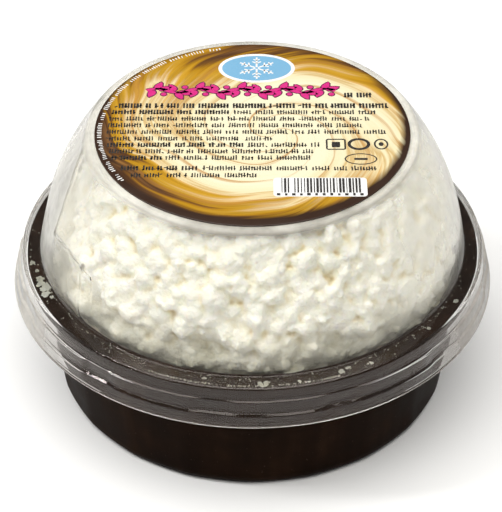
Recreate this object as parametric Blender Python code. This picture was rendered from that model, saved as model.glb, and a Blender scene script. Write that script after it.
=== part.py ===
# Single-portion ice-cream dessert: a dark plastic tub filled with ice cream under a mound of
# meringue crumbs, closed by a clear domed press-on lid with a round paper label on its flat top.
# Metres, +Z up. The origin is the middle of the tub's foot. The front of the cup faces -Y.

import math
import random

import bmesh
import bpy
from mathutils import Vector
from mathutils.geometry import delaunay_2d_cdt

# Driving dimensions
LID_RADIUS = 0.045           # widest point, at the lower edge of the lid's skirt
TUB_HEIGHT = 0.028           # foot to the top of the rim
LID_SEAT_HEIGHT = 0.053      # flat top of the lid, where the label lies
CLEARANCE = 0.0003           # gap kept between pieces that touch

TUB_WALL = 0.0008
TUB_FOOT_RADIUS = 0.0371     # outside, just above the rounded bottom corner
TUB_MOUTH_RADIUS = 0.0389    # outside, just under the rim
TUB_RIM_RADIUS = 0.0422
TUB_FACETS = 20              # shallow upright facets of the wall
TUB_FACET_DEPTH = 0.0002     # how far a facet lies inside the edges on either side of it
TUB_EDGE_ANGLE = math.radians(-91)   # one of those edges, 1 degree left of the front
TUB_FOOT_RECESS = 0.0008     # height of the bottom above its standing ring

LID_SHEET = 0.0006           # sheet thickness of the lid
DOME_CURVE_RADIUS = 0.0472   # the dome wall is an arc in section, not a straight cone
DOME_CURVE_BACK = 0.0073     # the arc's centre lies this far beyond the axis
DOME_CURVE_HEIGHT = 0.0247   # and this far above the foot
SNAP_COUNT = 12              # inward dimples that catch under the tub's rim
SNAP_ANGLE = math.radians(-99)   # middle of one dimple, 9 degrees left of the front
SNAP_FLAT = math.radians(2.6)    # half the width of a dimple's flat, seen from the axis
SNAP_EDGE = math.radians(7.4)    # half its width where it has run out into the skirt

LABEL_RADIUS = 0.0287
LABEL_SHEET = 0.0003

CRUMB_PITCH = 0.0049         # distance between neighbouring crumbs
HIDDEN_PITCH = 0.0070        # the same under the label
CRUMB_CREASE = 0.0023        # depth of the creases between crumbs
CRUMB_SCATTER = 0.0013       # how much some crumbs lie deeper than others
CRUMB_STRAY = 0.20           # how far a crumb strays from its place, as a share of the pitch
LID_TO_CRUMBS = 0.0004
HOLLOW_DEPTH = 0.0030        # how far the mound stands off the lid at its left side
HOLLOW_ANGLE = math.radians(-178)    # middle of that side, 88 degrees left of the front
HOLLOW_REACH = math.radians(34)      # half the angle over which it does

LID_STEPS = 72               # flat faces round each turned piece
TUB_STEPS = 60
LABEL_STEPS = 72
FILL_STEPS = 48
MERGE_DISTANCE = 0.00001


def clear_scene():
    for item in list(bpy.data.objects):
        bpy.data.objects.remove(item, do_unlink=True)


def plastic(name, colour, roughness, alpha=1.0):
    material = bpy.data.materials.new(name)
    material.use_nodes = True
    shader = material.node_tree.nodes["Principled BSDF"]
    shader.inputs["Base Color"].default_value = (*colour, 1.0)
    shader.inputs["Roughness"].default_value = roughness
    shader.inputs["Metallic"].default_value = 0.0
    shader.inputs["Alpha"].default_value = alpha
    return material


def finished_object(name, bm, material):
    bmesh.ops.recalc_face_normals(bm, faces=bm.faces)
    mesh = bpy.data.meshes.new(name)
    bm.to_mesh(mesh)
    bm.free()
    mesh.shade_smooth()
    mesh.set_sharp_from_angle(angle=math.radians(35))
    mesh.materials.append(material)
    item = bpy.data.objects.new(name, mesh)
    bpy.context.scene.collection.objects.link(item)
    return item


def spun(outline, steps, first_angle, pressed):
    """Turn an outline of (radius, height, depth) round +Z. Its points move inward by depth where
    pressed(angle) is 1, and not at all where it is 0."""
    bm = bmesh.new()
    depths = bm.verts.layers.float.new("depth")
    chain = []
    for radius, height, depth in outline:
        point = bm.verts.new((radius, 0.0, height))
        point[depths] = depth
        chain.append(point)
    lines = [bm.edges.new(pair) for pair in zip(chain, chain[1:])]
    bmesh.ops.spin(bm, geom=chain + lines, cent=(0, 0, 0), axis=(0, 0, 1),
                   angle=math.tau, steps=steps)
    bmesh.ops.remove_doubles(bm, verts=bm.verts, dist=MERGE_DISTANCE)
    for point in bm.verts:
        radius = math.hypot(point.co.x, point.co.y)
        if radius > 0.0:
            angle = math.atan2(point.co.y, point.co.x) + first_angle
            radius -= point[depths] * pressed(angle)
            point.co.x = radius * math.cos(angle)
            point.co.y = radius * math.sin(angle)
    return bm


def from_pattern_middle(angle, middle, count):
    """Angle to the nearest of count equal places round the axis, one of which is at middle."""
    pitch = math.tau / count
    return abs((angle - middle + pitch / 2) % pitch - pitch / 2)


def tub_facet(angle):
    away = from_pattern_middle(angle, TUB_EDGE_ANGLE, TUB_FACETS)
    return min(1.0, away / (math.tau / TUB_STEPS))


def snap_dimple(angle):
    away = from_pattern_middle(angle, SNAP_ANGLE, SNAP_COUNT)
    run_out = (SNAP_EDGE - away) / (SNAP_EDGE - SNAP_FLAT)
    return max(0.0, min(1.0, run_out))


def make_tub():
    foot_ring = (0.0300, 0.0352)
    floor = TUB_FOOT_RECESS + TUB_WALL
    lip = 0.0018
    rim = TUB_HEIGHT
    inner_mouth = TUB_MOUTH_RADIUS - TUB_WALL
    inner_foot = TUB_FOOT_RADIUS - TUB_WALL
    facet = TUB_FACET_DEPTH
    outline = [
        (0.0, TUB_FOOT_RECESS, 0.0),
        (foot_ring[0], TUB_FOOT_RECESS, 0.0),
        (foot_ring[0] + 0.0006, 0.0, 0.0),
        (foot_ring[1], 0.0, 0.0),
        (TUB_FOOT_RADIUS - 0.0004, 0.0009, facet),
        (TUB_FOOT_RADIUS, 0.0024, facet),
        (TUB_MOUTH_RADIUS, rim - TUB_WALL, facet),
        (TUB_RIM_RADIUS - TUB_WALL, rim - TUB_WALL, 0.0),
        (TUB_RIM_RADIUS - TUB_WALL, rim - lip, 0.0),
        (TUB_RIM_RADIUS, rim - lip, 0.0),
        (TUB_RIM_RADIUS, rim - 0.0003, 0.0),
        (TUB_RIM_RADIUS - 0.0003, rim, 0.0),
        (inner_mouth + 0.0003, rim, 0.0),
        (inner_mouth, rim - 0.0003, facet),
        (inner_foot, 0.0032, facet),
        (inner_foot - 0.0009, floor + 0.0004, 0.0),
        (inner_foot - 0.0019, floor, 0.0),
        (0.0, floor, 0.0),
    ]
    bm = spun(outline, TUB_STEPS, TUB_EDGE_ANGLE, tub_facet)
    return finished_object("tub", bm, plastic("dark brown plastic", (0.020, 0.011, 0.008), 0.35))


def dome_wall(height, inset):
    """Radius of the dome wall at a height, measured inset metres inside its outer face."""
    rise = height - DOME_CURVE_HEIGHT
    return math.sqrt((DOME_CURVE_RADIUS - inset) ** 2 - rise ** 2) - DOME_CURVE_BACK


def make_lid():
    seat = LID_SEAT_HEIGHT
    flange = TUB_HEIGHT + CLEARANCE + LID_SHEET
    outer_heights = (0.0525, 0.0490, 0.0440, 0.0390, 0.0340, 0.0297)
    inner_heights = (0.0299, 0.0350, 0.0410, 0.0470, 0.0513)
    bead_top = seat + 0.0005
    outline = [(0.0, seat, 0.0)]
    outline += [(0.0292, seat, 0.0), (0.0295, bead_top, 0.0), (0.0299, bead_top, 0.0)]
    outline += [(dome_wall(height, 0.0), height, 0.0) for height in outer_heights]
    outline += [
        (0.0401, flange, 0.0),
        (0.0427, flange, 0.0),
        (0.0432, flange - 0.0003, 0.0),
        (0.0435, 0.0267, 0.0),
        (0.0440, 0.0263, 0.0007),
        (0.0441, 0.0252, 0.0015),
        (0.0442, 0.0241, 0.0012),
        (0.0446, 0.0236, 0.0003),
        (LID_RADIUS - 0.0002, 0.0220, 0.0),
        (LID_RADIUS, 0.0217, 0.0),
        (LID_RADIUS, 0.0213, 0.0),
        (LID_RADIUS - LID_SHEET, 0.0213, 0.0),
        (0.0440, 0.0234, 0.0003),
        (0.0436, 0.0240, 0.0012),
        (0.0434, 0.0254, 0.0014),
        (0.0434, 0.0260, 0.0009),
        (0.0429, 0.0265, 0.0),
        (0.0426, flange - LID_SHEET - 0.0003, 0.0),
        (0.0423, flange - LID_SHEET, 0.0),
        (0.0397, flange - LID_SHEET, 0.0),
    ]
    outline += [(dome_wall(height, LID_SHEET), height, 0.0) for height in inner_heights]
    outline += [(0.0290, seat - LID_SHEET, 0.0), (0.0, seat - LID_SHEET, 0.0)]
    first_angle = SNAP_ANGLE + math.tau / LID_STEPS / 2
    bm = spun(outline, LID_STEPS, first_angle, snap_dimple)
    return finished_object("lid", bm, plastic("clear plastic", (0.80, 0.80, 0.79), 0.08, 0.25))


def make_label():
    bm = bmesh.new()
    bmesh.ops.create_circle(bm, cap_ends=True, segments=LABEL_STEPS, radius=LABEL_RADIUS)
    disc = bmesh.ops.extrude_face_region(bm, geom=list(bm.faces))
    raised = [item for item in disc["geom"] if isinstance(item, bmesh.types.BMVert)]
    bmesh.ops.translate(bm, verts=raised, vec=(0, 0, LABEL_SHEET))
    bmesh.ops.translate(bm, verts=bm.verts, vec=(0, 0, LID_SEAT_HEIGHT + CLEARANCE))
    return finished_object("label", bm, plastic("printed paper", (0.72, 0.52, 0.25), 0.45))


def mound_outline():
    """Section of the mound of crumbs from the middle of its top to its foot, inside the lid."""
    inset = LID_SHEET + LID_TO_CRUMBS
    top = LID_SEAT_HEIGHT - inset
    shoulder, lowest, parts = 0.0509, 0.0315, 7
    heights = [shoulder + (lowest - shoulder) * part / parts for part in range(parts + 1)]
    wall = [(dome_wall(height, inset), height) for height in heights]
    return [(0.0, top), (0.0286, top)] + wall + [(0.0370, TUB_HEIGHT + CLEARANCE)]


def on_mound(outline, travel):
    """Point and outward direction in section after travelling along the outline."""
    for (r0, z0), (r1, z1) in zip(outline, outline[1:]):
        length = math.hypot(r1 - r0, z1 - z0)
        if travel <= length:
            break
        travel -= length
    share = min(1.0, travel / length)
    point = (r0 + (r1 - r0) * share, z0 + (z1 - z0) * share)
    return point, ((z0 - z1) / length, (r1 - r0) / length)


def turned_point(section, angle):
    return Vector((section[0] * math.cos(angle), section[0] * math.sin(angle), section[1]))


def settled(section, angle):
    """The section's point moved in towards the axis where the mound stands off the lid."""
    away = abs((angle - HOLLOW_ANGLE + math.pi) % math.tau - math.pi)
    depth = HOLLOW_DEPTH * (1.0 + math.cos(math.pi * min(1.0, away / HOLLOW_REACH))) / 2
    outer_share = min(1.0, section[0] / LABEL_RADIUS) ** 2
    return section[0] - depth * outer_share, section[1]


def crumb_places(outline, rng):
    """Points and outward directions of the crumbs, on a spiral that turns by the golden angle."""
    golden = math.pi * (3.0 - math.sqrt(5.0))
    close_packed = math.sqrt(3.0) / 2
    length = sum(math.dist(a, b) for a, b in zip(outline, outline[1:]))
    places = []
    travel = HIDDEN_PITCH / 2
    while travel < length - 0.55 * CRUMB_PITCH:
        radius = on_mound(outline, travel)[0][0]
        pitch = HIDDEN_PITCH if radius < LABEL_RADIUS - CRUMB_PITCH else CRUMB_PITCH
        angle = golden * len(places) + rng.uniform(-CRUMB_STRAY, CRUMB_STRAY) * pitch / radius
        section, outward = on_mound(outline, travel + rng.uniform(-CRUMB_STRAY, CRUMB_STRAY) * pitch)
        point = turned_point(settled(section, angle), angle)
        places.append((point, turned_point(outward, angle)))
        travel += close_packed * pitch ** 2 / (math.tau * radius)
    return places


def flat_plan(point):
    """The mound seen from inside its middle and laid out flat, so that neighbours stay neighbours."""
    radius = math.hypot(point.x, point.y)
    spread = math.tan(0.5 * math.atan2(radius, point.z - DOME_CURVE_HEIGHT))
    return Vector((point.x, point.y)) * (spread / radius)


def make_ice_cream():
    """One solid: the fill of the tub and the crumbs that grow out of it. Each crumb has a crown, a
    ring of shoulder points round it, and pits between it and its neighbours."""
    rng = random.Random(7)
    outline = mound_outline()
    crumbs = crumb_places(outline, rng)
    foot = [turned_point(outline[-1], math.tau * step / FILL_STEPS) for step in range(FILL_STEPS)]
    plan = [flat_plan(point) for point, _ in crumbs] + [flat_plan(point) for point in foot]
    triangles = delaunay_2d_cdt(plan, [], [], 0, 1e-9)[2]

    bm = bmesh.new()
    sunk = [rng.uniform(0.0, CRUMB_SCATTER) for _ in crumbs]
    crowns = [bm.verts.new(point - outward * depth) for (point, outward), depth in zip(crumbs, sunk)]
    ring = [bm.verts.new(point) for point in foot]
    anchors = crumbs + [(point, point.normalized()) for point in foot]
    pits = []
    shoulders = {}
    sides = {}
    for number, corners in enumerate(triangles):
        middle = sum((anchors[corner][0] for corner in corners), Vector()) / 3
        outward = sum((anchors[corner][1] for corner in corners), Vector()).normalized()
        depth = CRUMB_CREASE * rng.uniform(0.80, 1.25)
        pits.append(bm.verts.new(middle - outward * depth))
        for corner in corners:
            if corner < len(crumbs):
                point, away = crumbs[corner]
                out = point.lerp(middle, rng.uniform(0.52, 0.70))
                drop = sunk[corner] + 0.24 * CRUMB_CREASE * rng.uniform(0.4, 1.6)
                shoulders[corner, number] = bm.verts.new(out - away * drop)
        for start, end in zip(corners, corners[1:] + corners[:1]):
            sides.setdefault((min(start, end), max(start, end)), []).append(number)

    for ends, beside in sides.items():
        if len(beside) == 1:
            first, second = (ring[end - len(crumbs)] for end in ends)
            bm.faces.new((first, second, pits[beside[0]]))
            continue
        left, right = beside
        for end in ends:
            if end < len(crumbs):
                near, far = shoulders[end, left], shoulders[end, right]
                bm.faces.new((crowns[end], near, far))
                bm.faces.new((near, pits[left], pits[right]))
                bm.faces.new((near, pits[right], far))
            else:
                bm.faces.new((ring[end - len(crumbs)], pits[left], pits[right]))

    gap = CLEARANCE + TUB_FACET_DEPTH + 0.0001
    floor = TUB_FOOT_RECESS + TUB_WALL + CLEARANCE
    lower = [
        (TUB_MOUTH_RADIUS - TUB_WALL - gap, TUB_HEIGHT - 0.0010),
        (TUB_FOOT_RADIUS - TUB_WALL - gap, floor + 0.0015),
        (TUB_FOOT_RADIUS - TUB_WALL - 0.0021, floor),
    ]
    edge = [item for item in bm.edges if item.is_boundary]
    for radius, height in lower:
        made = bmesh.ops.extrude_edge_only(bm, edges=edge)["geom"]
        edge = [item for item in made if isinstance(item, bmesh.types.BMEdge) and item.is_boundary]
        for point in {vert for item in edge for vert in item.verts}:
            point.co = turned_point((radius, height), math.atan2(point.co.y, point.co.x))
    bmesh.ops.contextual_create(bm, geom=edge)
    return finished_object("ice_cream", bm, plastic("meringue", (0.90, 0.87, 0.76), 0.75))


clear_scene()
make_tub()
make_ice_cream()
make_lid()
make_label()
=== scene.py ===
import math

import bpy
import numpy as np
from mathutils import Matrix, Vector, noise


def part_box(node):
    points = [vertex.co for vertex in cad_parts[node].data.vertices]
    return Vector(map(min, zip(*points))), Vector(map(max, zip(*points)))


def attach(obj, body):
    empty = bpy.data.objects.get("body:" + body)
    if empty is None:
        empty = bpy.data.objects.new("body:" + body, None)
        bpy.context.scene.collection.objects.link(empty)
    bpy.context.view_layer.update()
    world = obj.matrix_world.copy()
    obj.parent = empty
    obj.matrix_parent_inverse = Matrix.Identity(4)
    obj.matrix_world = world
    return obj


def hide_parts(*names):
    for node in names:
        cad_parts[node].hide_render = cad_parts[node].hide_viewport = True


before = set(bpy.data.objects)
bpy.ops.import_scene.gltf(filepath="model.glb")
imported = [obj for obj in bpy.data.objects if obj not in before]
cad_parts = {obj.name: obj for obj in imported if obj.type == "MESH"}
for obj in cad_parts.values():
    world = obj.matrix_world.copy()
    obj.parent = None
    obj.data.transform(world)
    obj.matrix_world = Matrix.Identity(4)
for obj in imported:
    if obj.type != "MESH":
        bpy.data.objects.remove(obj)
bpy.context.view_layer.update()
print("frame loaded:", ", ".join(sorted(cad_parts)))

mm = 0.001
tau = math.tau
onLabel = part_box("label")[1].z / mm  # height of the label's face
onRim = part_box("tub")[1].z / mm


# Small helpers for node trees and meshes

def setInputs(node, inputs):
    for name, value in inputs.items():
        if isinstance(value, bpy.types.NodeSocket):
            value.id_data.links.new(value, node.inputs[name])
        else:
            node.inputs[name].default_value = value


def addNode(tree, kind, inputs=None, **settings):
    # a new node, given back as its outputs
    node = tree.nodes.new(kind)
    for name, value in settings.items():
        setattr(node, name, value)
    setInputs(node, inputs or {})
    return node.outputs


def feedNode(kind, inputs, **settings):
    # a new node in the tree of the sockets that feed it
    tree = next(value.id_data for value in inputs.values() if isinstance(value, bpy.types.NodeSocket))
    return addNode(tree, kind, inputs, **settings)


def calc(operation, *values):
    return feedNode("ShaderNodeMath", dict(enumerate(values)), operation=operation)[0]


def times(first, second):
    return calc("MULTIPLY", first, second)


def timesPlus(first, second, added):
    return calc("MULTIPLY_ADD", first, second, added)


def vectorCalc(operation, first, second):
    # second is a vector, or a number for SCALE
    inputs = {0: first, "Scale" if operation == "SCALE" else 1: second}
    return feedNode("ShaderNodeVectorMath", inputs, operation=operation)[0]


def spread(value, fromLow, fromHigh, toLow=0.0, toHigh=1.0):
    # value from one range to another, held at its ends
    return feedNode("ShaderNodeMapRange", dict(enumerate((value, fromLow, fromHigh, toLow, toHigh))))[0]


def noiseOn(place, scale, detail=2.0, roughness=0.5):
    inputs = {"Vector": place, "Scale": scale, "Detail": detail, "Roughness": roughness}
    return feedNode("ShaderNodeTexNoise", inputs)[0]


def stretched(place, scale, shift=(0, 0, 0)):
    return feedNode("ShaderNodeMapping", {"Vector": place, "Scale": scale, "Location": shift})[0]


def heightOf(place):
    return feedNode("ShaderNodeSeparateXYZ", {0: place})["Z"]


def attributeOn(tree, name):
    return addNode(tree, "ShaderNodeAttribute", attribute_name=name)["Fac"]


def blendColours(share, first, second, mode="MIX"):
    inputs = {0: share, 6: first, 7: second}
    return feedNode("ShaderNodeMix", inputs, data_type="RGBA", blend_type=mode)[2]


def colourSteps(share, steps):
    colour = feedNode("ShaderNodeValToRGB", {0: share})[0]
    elements = colour.node.color_ramp.elements
    while len(elements) < len(steps):
        elements.new(1.0)
    for element, (place, tone) in zip(elements, steps):
        element.position = place
        element.color = tone
    return colour


def shade(red, green, blue):
    # a colour given in 0 to 255 as seen, turned into the linear one that the shader takes
    linear = [((c / 255 + 0.055) / 1.055) ** 2.4 if c > 10 else c / 255 / 12.92 for c in (red, green, blue)]
    return (*linear, 1.0)


def newMaterial(name):
    material = bpy.data.materials.new(name)
    material.use_nodes = True
    tree = material.node_tree
    place = tree.nodes.new("ShaderNodeTexCoord").outputs["Object"]
    return material, tree.nodes["Principled BSDF"], place


def newGroup(name, kind, takes, gives):
    # gives the new tree, what comes into it, and the node that takes what goes out
    tree = bpy.data.node_groups.new(name, kind)
    for way, sockets in (("INPUT", takes), ("OUTPUT", gives)):
        for socket, socketKind in sockets.items():
            tree.interface.new_socket(name=socket, in_out=way, socket_type="NodeSocket" + socketKind)
    return tree, tree.nodes.new("NodeGroupInput").outputs, tree.nodes.new("NodeGroupOutput")


def bumpFrom(height, strength, distance):
    inputs = {"Height": height, "Strength": strength, "Distance": distance * mm}
    return feedNode("ShaderNodeBump", inputs)[0]


def closedMesh(name, points, faces):
    # one closed surface in mm, its faces turned outwards by the sign of its volume
    points = np.asarray(points, float) * mm
    mesh = bpy.data.meshes.new(name)
    mesh.from_pydata(points.tolist(), [], faces)
    mesh.calc_loop_triangles()
    corners = np.zeros(len(mesh.loop_triangles) * 3, np.int32)
    mesh.loop_triangles.foreach_get("vertices", corners)
    a, b, c = points[corners].reshape(-1, 3, 3).transpose(1, 0, 2)
    if np.einsum("ij,ij->", a, np.cross(b, c)) < 0:
        mesh.flip_normals()
    mesh.shade_smooth()
    return mesh


def newPiece(name, mesh, material=None):
    piece = bpy.data.objects.new(name, mesh)
    bpy.context.scene.collection.objects.link(piece)
    if material:
        mesh.materials.append(material)
    return piece


def bakeModifiers(piece):
    graph = bpy.context.evaluated_depsgraph_get()
    mesh = bpy.data.meshes.new_from_object(piece.evaluated_get(graph), depsgraph=graph)
    piece.modifiers.clear()
    piece.data = mesh
    mesh.name = piece.name


def settle(piece, slotName, *nodes):
    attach(piece, "root")
    if nodes:
        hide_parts(*nodes)


def readVectors(holder, name):
    flat = np.zeros(len(holder) * 3, np.float32)
    holder.foreach_get(name, flat)
    return flat.reshape(-1, 3).astype(float)


def getPoints(mesh):
    return readVectors(mesh.vertices, "co") / mm


def setPoints(mesh, points):
    mesh.vertices.foreach_set("co", (points * mm).astype(np.float32).ravel())
    mesh.update()


def addValues(mesh, name, values):
    attribute = mesh.attributes.get(name) or mesh.attributes.new(name, "FLOAT", "POINT")
    attribute.data.foreach_set("value", values.astype(np.float32))


def ramp(value, low, high):
    # 0 below low, 1 above high, and a smooth rise between them
    share = np.clip((value - low) / (high - low), 0.0, 1.0)
    return share * share * (3 - 2 * share)


def within(value, low, full, fading, high):
    # rises from low to full and falls again from fading to high
    return ramp(value, low, full) * (1 - ramp(value, fading, high))


# Turned pieces: an outline in mm from the axis round to the axis again

def roundCorners(corners, arcSteps=3):
    # corners are (radius, height, fillet, press); press is how far dimples or facets push it in
    places = np.array([(radius, height, press) for radius, height, fillet, press in corners])
    outline = [places[0]]
    for before, here, after, corner in zip(places, places[1:], places[2:], corners[1:]):
        back, ahead = before - here, after - here
        backLength, aheadLength = np.hypot(*back[:2]), np.hypot(*ahead[:2])
        opening = np.arccos(np.clip(back[:2] @ ahead[:2] / (backLength * aheadLength), -1, 1))
        cut = min(corner[2] / np.tan(opening / 2), 0.48 * backLength, 0.48 * aheadLength)
        if corner[2] == 0:
            outline.append(here)
            continue
        start, end = here + back * (cut / backLength), here + ahead * (cut / aheadLength)
        for t in np.linspace(0, 1, arcSteps + 1):
            outline.append(start * (1 - t) ** 2 + here * 2 * t * (1 - t) + end * t ** 2)
    outline.append(places[-1])
    return np.array(outline)


def turnedMesh(name, outline, turns, shape=None):
    rings = outline[1:-1]
    count = len(turns)
    radius, height, press = (np.repeat(rings[:, k:k + 1], count, axis=1) for k in range(3))
    if shape:
        radius, height = shape(radius, height, press, turns)
    sides = np.stack([radius * np.cos(turns), radius * np.sin(turns), height], axis=2).reshape(-1, 3)
    poles = [(0, 0, outline[0][1]), (0, 0, outline[-1][1])]
    here = np.arange(len(rings) * count).reshape(len(rings), count)
    beside = np.roll(here, -1, axis=1)
    quads = np.stack([here[:-1], beside[:-1], beside[1:], here[1:]], axis=2).reshape(-1, 4).tolist()
    first, last = len(sides), len(sides) + 1
    caps = [(first, b, a) for a, b in zip(here[0].tolist(), beside[0].tolist())]
    caps += [(last, a, b) for a, b in zip(here[-1].tolist(), beside[-1].tolist())]
    return closedMesh(name, np.vstack([sides, poles]), quads + caps)


def turnedPiece(name, corners, turns, material=None, shape=None, arcSteps=3):
    return newPiece(name, turnedMesh(name, roundCorners(corners, arcSteps), turns, shape), material)


def allRound(steps):
    return np.arange(0, tau, tau / steps)


def fromPlaces(turns, middle, count):
    # angle to the nearest of count equal places round the axis, one of them at middle
    pitch = tau / count
    return np.abs((turns - middle + pitch / 2) % pitch - pitch / 2)


def azimuth(turns):
    # degrees from the front, positive to the right of someone facing it
    return (np.degrees(turns) + 90 + 180) % 360 - 180


def aroundAxis(points):
    # each point's distance from the axis, its degrees from the front and its height
    x, y, height = points.T
    return np.hypot(x, y), azimuth(np.arctan2(y, x)), height


def onCircle(radius, turn):
    return radius * math.cos(turn), radius * math.sin(turn)


# Surface grain that several finishes use, each with its own scale

def makeGrain():
    takes, gives = {"Place": "Vector", "Scale": "Float"}, {"Height": "Float", "Patches": "Float"}
    tree, entry, leave = newGroup("surfaceGrain", "ShaderNodeTree", takes, gives)
    place, scale = entry["Place"], entry["Scale"]
    coarse = noiseOn(place, scale, 3.0, 0.6)
    fine = noiseOn(place, times(scale, 4.3), 2.0)
    patches = noiseOn(place, times(scale, 0.12), 3.0)
    setInputs(leave, {"Height": timesPlus(fine, 0.35, coarse), "Patches": spread(patches, 0.35, 0.65)})
    return tree


surfaceGrain = makeGrain()


def addGrain(place, scale):
    grain = feedNode("ShaderNodeGroup", {"Place": place, "Scale": scale}, node_tree=surfaceGrain)
    return grain["Height"], grain["Patches"]


# Camera, light and floor

studio = {
    "elevation": 37.857, "distance": 450, "aimHeight": 24.65, "lens": 167.29, "shift": -0.00273,
    "skyLow": 0.09, "skyHigh": 0.90, "floorSide": 6.0, "floorDrop": 0.05,
}
# each lamp's place and size in metres, its power and its colour
lamps = {
    "topLight": ((-0.06, -0.26, 1.25), (1.6, 1.4), 19.2, (1.0, 0.99, 0.965)),
    "stripLight": ((-0.38, -0.07, 0.46), (0.05, 0.20), 0.9, (1.0, 1.0, 1.0)),
}


def placeCamera():
    tilt = math.radians(studio["elevation"])
    away = studio["distance"] * mm
    camera = bpy.data.objects.new("camera", bpy.data.cameras.new("camera"))
    camera.data.lens = studio["lens"]
    camera.data.sensor_width = 36
    camera.data.shift_x = studio["shift"]
    camera.data.clip_start = 0.01
    camera.location = (0, -away * math.cos(tilt), studio["aimHeight"] * mm + away * math.sin(tilt))
    camera.rotation_euler = (math.pi / 2 - tilt, 0, 0)
    bpy.context.scene.collection.objects.link(camera)
    bpy.context.scene.camera = camera


def addLamp(name, place, size, power, colour):
    data = bpy.data.lights.new(name, "AREA")
    data.shape = "RECTANGLE"
    data.size, data.size_y = size
    data.energy = power
    data.color = colour
    lamp = bpy.data.objects.new(name, data)
    lamp.location = place
    lamp.rotation_euler = Vector(place).to_track_quat("Z", "Y").to_euler()
    bpy.context.scene.collection.objects.link(lamp)


def lightScene():
    bpy.context.scene.view_settings.view_transform = "Standard"
    world = bpy.data.worlds.new("paleRoom")
    bpy.context.scene.world = world
    world.use_nodes = True
    tree = world.node_tree
    up = heightOf(tree.nodes.new("ShaderNodeTexCoord").outputs["Generated"])
    brightness = spread(up, 0.76, 0.97, studio["skyLow"], studio["skyHigh"])
    setInputs(tree.nodes["Background"], {"Color": (1.0, 0.98, 0.96, 1.0), "Strength": brightness})
    for name, settings in lamps.items():
        addLamp(name, *settings)


def layFloor():
    half, lower = studio["floorSide"] / 2, -studio["floorDrop"] * mm
    mesh = bpy.data.meshes.new("floor")
    corners = [(x * half, y * half, lower) for x, y in ((-1, -1), (1, -1), (1, 1), (-1, 1))]
    mesh.from_pydata(corners, [], [(0, 1, 2, 3)])
    material, shader, place = newMaterial("paleFloor")
    patches = addGrain(place, 40)[1]
    setInputs(shader, {
        "Base Color": blendColours(patches, (0.96, 0.96, 0.96, 1), (0.98, 0.98, 0.975, 1)),
        "Roughness": 0.9, "Specular IOR Level": 0.1,
    })
    newPiece("floor", mesh, material)


placeCamera()
lightScene()
layFloor()
print("camera, light and floor done")


# The tub, with twenty shallow upright facets

tub = {
    "steps": 240, "facets": 20, "facetDepth": 0.22, "edgeTurn": -91,
    "footRadius": 36.93, "mouthRadius": 38.9, "rimRadius": 42.2, "wall": 0.8, "recess": 0.8, "slope": 0.3,
    "lipRadius": 41.4, "lipDrop": 1.8, "recessRadius": 30.6, "ringRise": 0.3, "ringInner": 21.6,
    "ringOuter": 23.4, "studRadius": 2.5, "studRise": 0.25, "dustAndLightFrom": 27.2, "dustAndLightTo": 27.9,
}


def tubPlastic():
    material, shader, place = newMaterial("darkBrownPlastic")
    height, patches = addGrain(place, 900)
    streak = noiseOn(stretched(place, (500, 500, 18)), 1.0, 3.0)
    tone = colourSteps(timesPlus(streak, 0.5, times(patches, 0.5)),
                       [(0.25, shade(20, 10, 4)), (0.6, shade(27, 15, 7)), (0.9, shade(38, 24, 14))])
    speck = spread(noiseOn(place, 2600, 1.0), 0.74, 0.80)
    # sugar dust on the rim, under the lid, and painted light: the rim's top a little lighter and browner as
    # if lit from above
    onTop = spread(heightOf(place), tub["dustAndLightFrom"] * mm, tub["dustAndLightTo"] * mm)
    dustAndLitTop = times(onTop, spread(noiseOn(place, 420, 4.0, 0.75), 0.46, 0.72))
    tone = blendColours(times(dustAndLitTop, 0.07), tone, shade(112, 94, 80))
    setInputs(shader, {
        "Base Color": blendColours(times(speck, 0.25), tone, shade(120, 105, 92)),
        "Roughness": spread(patches, 0, 1, 0.36, 0.5), "Specular IOR Level": 0.015,
        "Normal": bumpFrom(timesPlus(streak, 0.6, height), 0.25, 0.05),
    })
    return material


def makeTub():
    rim, wall, recess, slope = onRim, tub["wall"], tub["recess"], tub["slope"]
    mouth, foot, edge, lipRadius = tub["mouthRadius"], tub["footRadius"], tub["rimRadius"], tub["lipRadius"]
    lip, drop, raised = rim - wall, rim - tub["lipDrop"], recess + tub["ringRise"]
    stud, ringInner, ringOuter = tub["studRadius"], tub["ringInner"], tub["ringOuter"]
    corners = [
        # the recessed foot, with a stud in its middle and a low ring
        (0, recess + tub["studRise"], 0, 0), (stud - slope, recess + tub["studRise"], 0.2, 0),
        (stud, recess, 0.2, 0), (ringInner, recess, 0.2, 0), (ringInner + slope, raised, 0.2, 0),
        (ringOuter - slope, raised, 0.2, 0), (ringOuter, recess, 0.2, 0),
        (tub["recessRadius"] - 0.8, recess, 0.5, 0), (tub["recessRadius"], 0, 0.3, 0),
        # the outer wall, the lip, the rim and the inner wall
        (foot, 0, 2.6, 0.6), (mouth, lip, 0.35, 1), (lipRadius, lip, 0.2, 0), (lipRadius, drop, 0.12, 0),
        (edge, drop, 0.15, 0), (edge, rim, 0.4, 0), (mouth - wall, rim, 0.4, 0.5),
        (foot - 0.7, recess + wall, 2.2, 0.5), (0, recess + wall, 0, 0),
    ]
    edgeTurn = math.radians(tub["edgeTurn"])
    turns = edgeTurn + np.arange(tub["steps"]) * tau / tub["steps"]

    def facets(radius, height, press, turns):
        fromEdge = fromPlaces(turns, edgeTurn, tub["facets"]) / (math.pi / tub["facets"])  # 1 mid flat
        return radius - press * tub["facetDepth"] * (1 - (1 - fromEdge) ** 2), height

    settle(turnedPiece("tubShell", corners, turns, tubPlastic(), facets, 5), "tub", "tub")


makeTub()
print("tub done")


# The clear lid: a dome, a flange over the tub's rim, and a stepped skirt with dimples

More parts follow.
